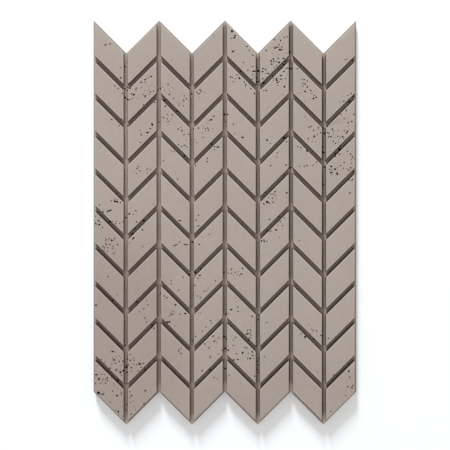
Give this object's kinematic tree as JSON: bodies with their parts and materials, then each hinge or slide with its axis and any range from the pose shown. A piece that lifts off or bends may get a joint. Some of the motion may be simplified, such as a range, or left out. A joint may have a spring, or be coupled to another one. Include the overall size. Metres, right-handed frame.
{
  "type": "chevron relief concrete wall panel",
  "caption": "Cast concrete cladding panel with raised slanted blocks in a chevron, open joints between them, zigzag ends that interlock with the next panel and a flat back.",
  "frame": {"origin": "on the back face, in the middle of the panel's outline box", "axes": "+X across the panel, +Y up the panel as it hangs on a wall, +Z out of the wall through the relief face"},
  "size_m": [0.6, 0.9236, 0.025],
  "materials": {
    "concrete": "matt cast face, warm grey, with scattered air holes"
  },
  "bodies": {
    "root": {"concrete_panel": "concrete"}
  },
  "joints": []
}
